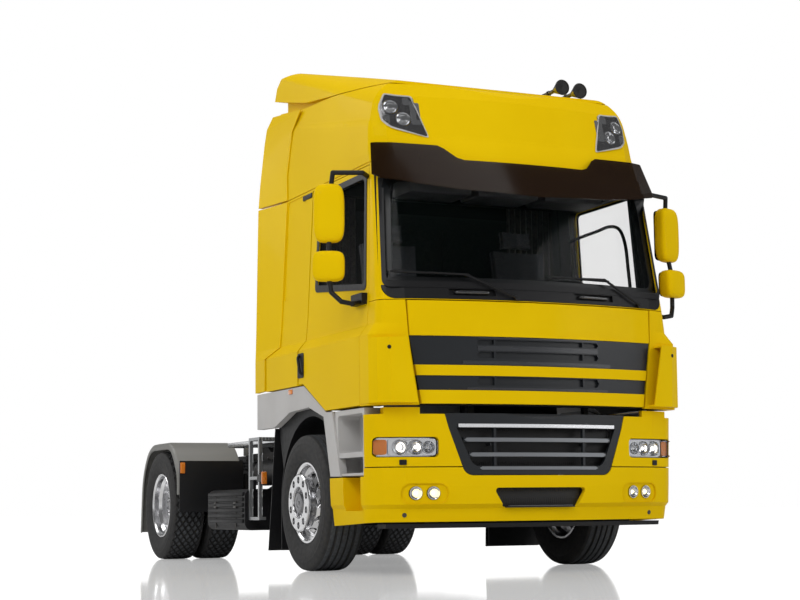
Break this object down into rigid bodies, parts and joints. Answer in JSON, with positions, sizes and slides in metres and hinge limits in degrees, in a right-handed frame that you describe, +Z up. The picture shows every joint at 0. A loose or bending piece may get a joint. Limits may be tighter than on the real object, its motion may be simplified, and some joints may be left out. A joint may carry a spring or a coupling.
{
  "type": "semi truck tractor unit",
  "caption": "Cab-over road tractor with high-roof sleeper cab, tilting cab, opening doors and front lid, steered front wheels, twin rear wheels and rocking fifth wheel.",
  "frame": {"origin": "centre of the bounding box's base, on the ground", "axes": "+Z up, the front faces -Y, +X is the vehicle's left side"},
  "size_m": [3.0628, 6.045, 3.9547],
  "materials": {
    "cab_paint": "glossy yellow enamel",
    "window_glass": "tinted glass",
    "black_trim": "matt black plastic",
    "smoked_plastic": "smoked acrylic",
    "lamp_lens": "clear lamp glass",
    "horn_metal": "black enamel",
    "cabin_plastic": "dark grained plastic",
    "seat_cloth": "woven cloth",
    "grille_plastic": "dark grey plastic",
    "grey_plastic": "mid grey plastic",
    "chassis_paint": "semi-gloss black chassis paint",
    "engine_casting": "painted casting",
    "radiator": "black finned core",
    "tank_aluminium": "brushed aluminium",
    "rear_lamp_lens": "red lens",
    "plate_steel": "greased steel",
    "wheel_chrome": "polished",
    "tyre_rubber": "black rubber"
  },
  "bodies": {
    "chassis": {"front_bumper": "cab_paint", "headlamp_panels": "cab_paint", "lower_grille": "grille_plastic", "front_lamps": "lamp_lens", "underrun_bar": "black_trim", "step_wells": "grey_plastic", "wheel_arch_panels": "grey_plastic", "front_mudguards": "black_trim", "chassis_frame": "chassis_paint", "front_axle": "chassis_paint", "springs": "chassis_paint", "rear_axle": "chassis_paint", "engine_block": "engine_casting", "cooling_pack": "radiator", "propeller_shaft": "chassis_paint", "fuel_tank": "tank_aluminium", "battery_box": "black_trim", "air_tanks": "chassis_paint", "exhaust_silencer": "tank_aluminium", "catwalk": "tank_aluminium", "rear_mudguards": "black_trim", "rear_lamps": "rear_lamp_lens", "fifth_wheel_base": "chassis_paint"},
    "cab": {"cab_shell": "cab_paint", "corner_panels": "cab_paint", "windscreen": "window_glass", "wiper_cowl": "black_trim", "roof_cap": "cab_paint", "roof_deflector": "cab_paint", "side_collars": "cab_paint", "sun_visor": "smoked_plastic", "roof_lamps": "lamp_lens", "air_horns": "horn_metal", "dashboard": "cabin_plastic", "steering_wheel": "cabin_plastic", "seats": "seat_cloth", "bunk": "seat_cloth"},
    "front_lid": {"front_lid": "cab_paint", "upper_grille": "grille_plastic"},
    "door_left": {"door_left": "cab_paint", "door_glass_left": "window_glass", "mirrors_left": "cab_paint", "mirror_arms_left": "black_trim"},
    "door_right": {"door_right": "cab_paint", "door_glass_right": "window_glass", "mirrors_right": "cab_paint", "mirror_arms_right": "black_trim"},
    "fifth_wheel": {"fifth_wheel_plate": "plate_steel"},
    "knuckle_left": {"steering_knuckle_left": "chassis_paint"},
    "knuckle_right": {"steering_knuckle_right": "chassis_paint"},
    "track_rod": {"track_rod": "chassis_paint"},
    "front_wheel_left": {"front_rim_left": "wheel_chrome", "front_tyre_left": "tyre_rubber"},
    "front_wheel_right": {"front_rim_right": "wheel_chrome", "front_tyre_right": "tyre_rubber"},
    "rear_wheels_left": {"rear_rims_left": "wheel_chrome", "rear_tyres_left": "tyre_rubber"},
    "rear_wheels_right": {"rear_rims_right": "wheel_chrome", "rear_tyres_right": "tyre_rubber"}
  },
  "joints": [
    {"name": "cab_tilt", "type": "hinge", "parent": "chassis", "child": "cab", "pos_m": [0, -2.8675, 1.06], "axis": [1, 0, 0], "range_deg": [0, 60]},
    {"name": "front_lid_hinge", "type": "hinge", "parent": "cab", "child": "front_lid", "pos_m": [0, -2.9775, 1.88], "axis": [-1, 0, 0], "range_deg": [0, 85]},
    {"name": "door_left_hinge", "type": "hinge", "parent": "cab", "child": "door_left", "pos_m": [1.228, -2.6125, 1.9], "axis": [0, 0, -1], "range_deg": [0, 70]},
    {"name": "door_right_hinge", "type": "hinge", "parent": "cab", "child": "door_right", "pos_m": [-1.228, -2.6125, 1.9], "axis": [0, 0, 1], "range_deg": [0, 70]},
    {"name": "steer_left", "type": "hinge", "parent": "chassis", "child": "knuckle_left", "pos_m": [0.93, -1.5275, 0.455], "axis": [0, 0, 1], "range_deg": [-38, 38]},
    {"name": "steer_right", "type": "hinge", "parent": "chassis", "child": "knuckle_right", "pos_m": [-0.93, -1.5275, 0.455], "axis": [0, 0, 1], "range_deg": [-38, 38]},
    {"name": "track_rod_pivot", "type": "hinge", "parent": "knuckle_left", "child": "track_rod", "pos_m": [0.93, -1.3575, 0.382], "axis": [0, 0, 1], "range_deg": [-38, 38]},
    {"name": "front_spin_left", "type": "hinge", "parent": "knuckle_left", "child": "front_wheel_left", "pos_m": [1.079, -1.5275, 0.503], "axis": [1, 0, 0], "continuous": true},
    {"name": "front_spin_right", "type": "hinge", "parent": "knuckle_right", "child": "front_wheel_right", "pos_m": [-1.079, -1.5275, 0.503], "axis": [1, 0, 0], "continuous": true},
    {"name": "rear_spin_left", "type": "hinge", "parent": "chassis", "child": "rear_wheels_left", "pos_m": [0.913, 2.2725, 0.503], "axis": [1, 0, 0], "continuous": true},
    {"name": "rear_spin_right", "type": "hinge", "parent": "chassis", "child": "rear_wheels_right", "pos_m": [-0.913, 2.2725, 0.503], "axis": [1, 0, 0], "continuous": true},
    {"name": "fifth_wheel_rock", "type": "hinge", "parent": "chassis", "child": "fifth_wheel", "pos_m": [0, 1.7225, 1.025], "axis": [1, 0, 0], "range_deg": [-10, 10], "stiffness_Nm_per_rad": 4000}
  ],
  "couplings": [
    {"joint": "steer_right", "follows": "steer_left", "ratio": 1},
    {"joint": "track_rod_pivot", "follows": "steer_left", "ratio": -1}
  ]
}
